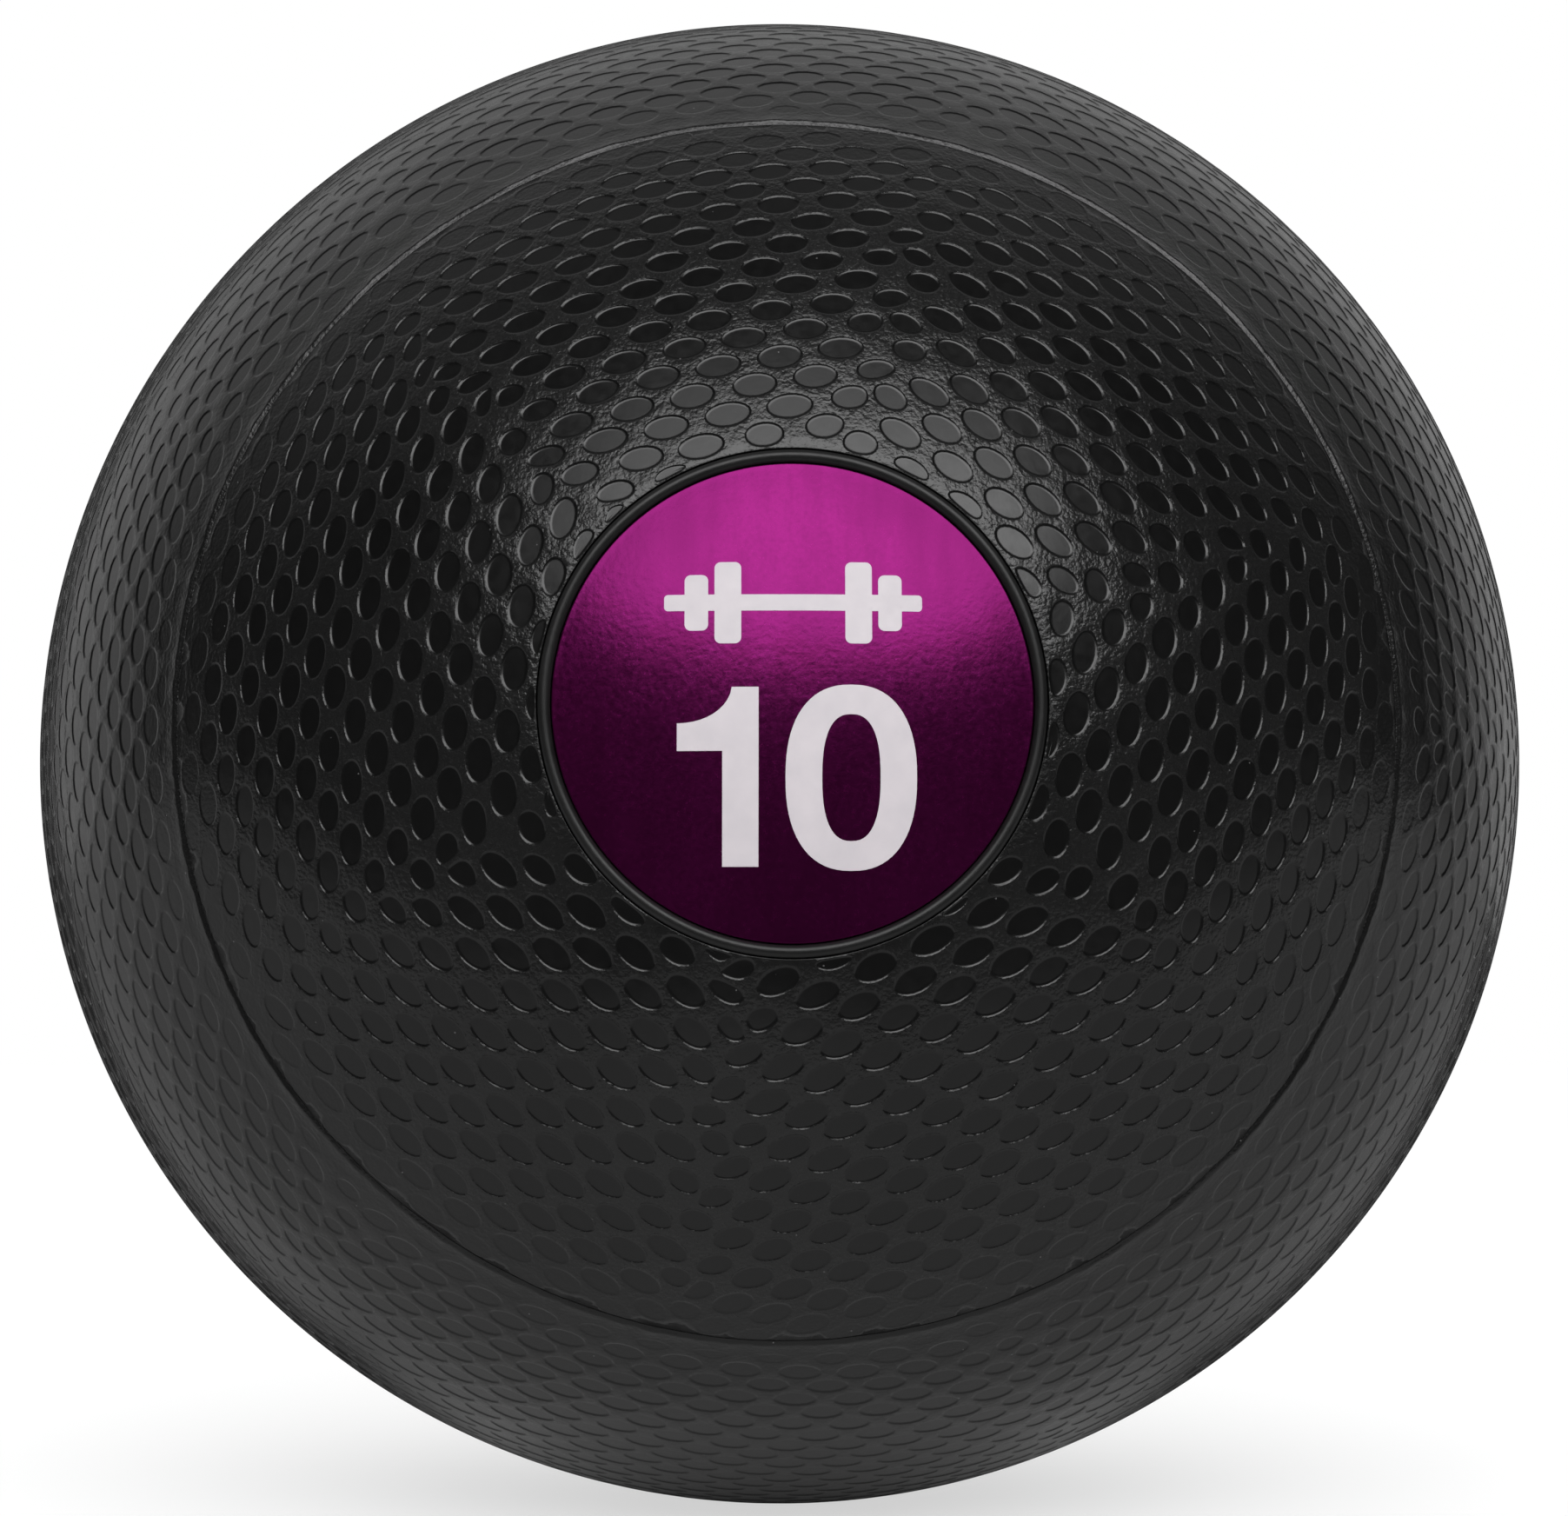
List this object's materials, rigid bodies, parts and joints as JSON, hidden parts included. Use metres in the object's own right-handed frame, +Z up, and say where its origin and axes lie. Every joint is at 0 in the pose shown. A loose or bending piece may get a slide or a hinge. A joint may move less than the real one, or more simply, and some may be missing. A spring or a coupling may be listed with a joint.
{
  "type": "medicine ball",
  "caption": "Heavy air-filled rubber exercise ball with a textured black cover, raised mould seams, a domed round badge in a bead ring at the front and a needle valve at the rear.",
  "frame": {"origin": "centre of the ball", "axes": "-Y from the centre to the badge, +Y to the inflation valve, +Z up when the badge print is upright, +X to the right of a viewer who faces the badge"},
  "size_m": [0.2286, 0.2276, 0.2286],
  "materials": {
    "cover_rubber": "matt black rubber, oval dimples with satin floors",
    "bead_rubber": "smooth satin black rubber",
    "badge_foil": "satin metallic magenta, pale pink print",
    "adhesive": "bonding layer, hidden",
    "core_rubber": "dull filled rubber, hidden",
    "winding_cord": "wound cord in cement, hidden",
    "butyl": "smooth butyl, hidden",
    "valve_rubber": "smooth satin black rubber"
  },
  "bodies": {
    "root": {"front_cover_cap": "cover_rubber", "cover_belt": "cover_rubber", "rear_cover_cap": "cover_rubber", "badge_plate": "badge_foil", "badge_rim": "bead_rubber", "badge_adhesive": "adhesive", "front_core_shell": "core_rubber", "rear_core_shell": "core_rubber", "winding_layer": "winding_cord", "bladder": "butyl", "valve_boss": "valve_rubber", "valve_plug": "valve_rubber"}
  },
  "joints": []
}
